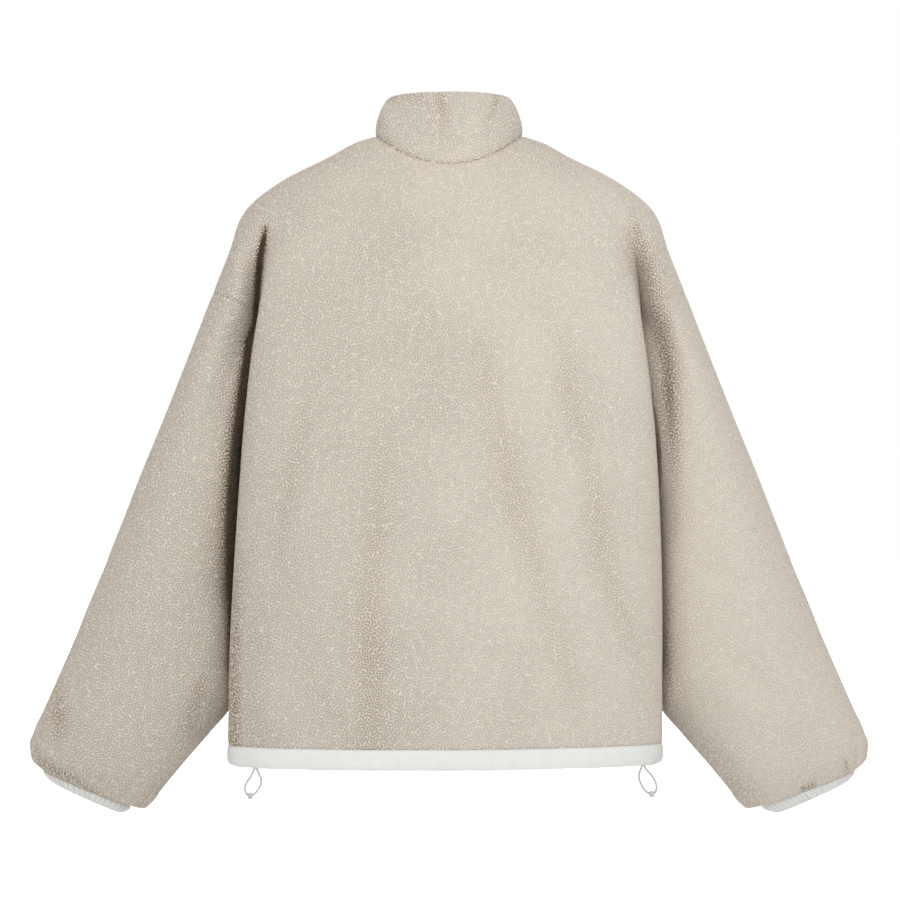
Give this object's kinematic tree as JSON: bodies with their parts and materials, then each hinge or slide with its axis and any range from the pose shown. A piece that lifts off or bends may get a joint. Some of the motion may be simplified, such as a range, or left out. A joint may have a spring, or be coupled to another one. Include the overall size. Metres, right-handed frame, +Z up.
{
  "type": "fleece jacket",
  "caption": "Boxy fleece jacket in its worn shape, with dropped shoulders, full sleeves gathered into elastic cuffs, a stand collar, a woven hem band and a front zip.",
  "frame": {"origin": "between the two neck points, at the height where the shoulder seams meet the collar seam", "axes": "+X towards the wearer's left, -Y the front, +Z up"},
  "size_m": [0.8844, 0.2711, 0.7553],
  "materials": {
    "fleece": "matte",
    "woven": "matte",
    "elastic_cord": "matte",
    "zip_plastic": "satin",
    "zip_metal": "satin"
  },
  "bodies": {
    "jacket": {"back": "fleece", "front_left": "fleece", "front_right": "fleece", "sleeve_left": "fleece", "sleeve_right": "fleece", "collar": "fleece", "hem_band": "woven", "cuff_left": "woven", "cuff_right": "woven", "zip_tape_left": "woven", "zip_tape_right": "woven", "zip_chain": "zip_plastic", "zip_box": "zip_plastic", "zip_stop_left": "zip_plastic", "zip_stop_right": "zip_plastic", "zip_slider": "zip_metal", "drawcord_left": "elastic_cord", "drawcord_right": "elastic_cord", "cord_clip_left": "elastic_cord", "cord_clip_right": "elastic_cord"},
    "pull_tab": {"zip_pull": "zip_metal"}
  },
  "joints": [
    {"name": "pull_tab_swing", "type": "hinge", "parent": "jacket", "child": "pull_tab", "pos_m": [0, -0.06735, -0.02373], "axis": [-1, 0, 0], "range_deg": [0, 150]}
  ]
}
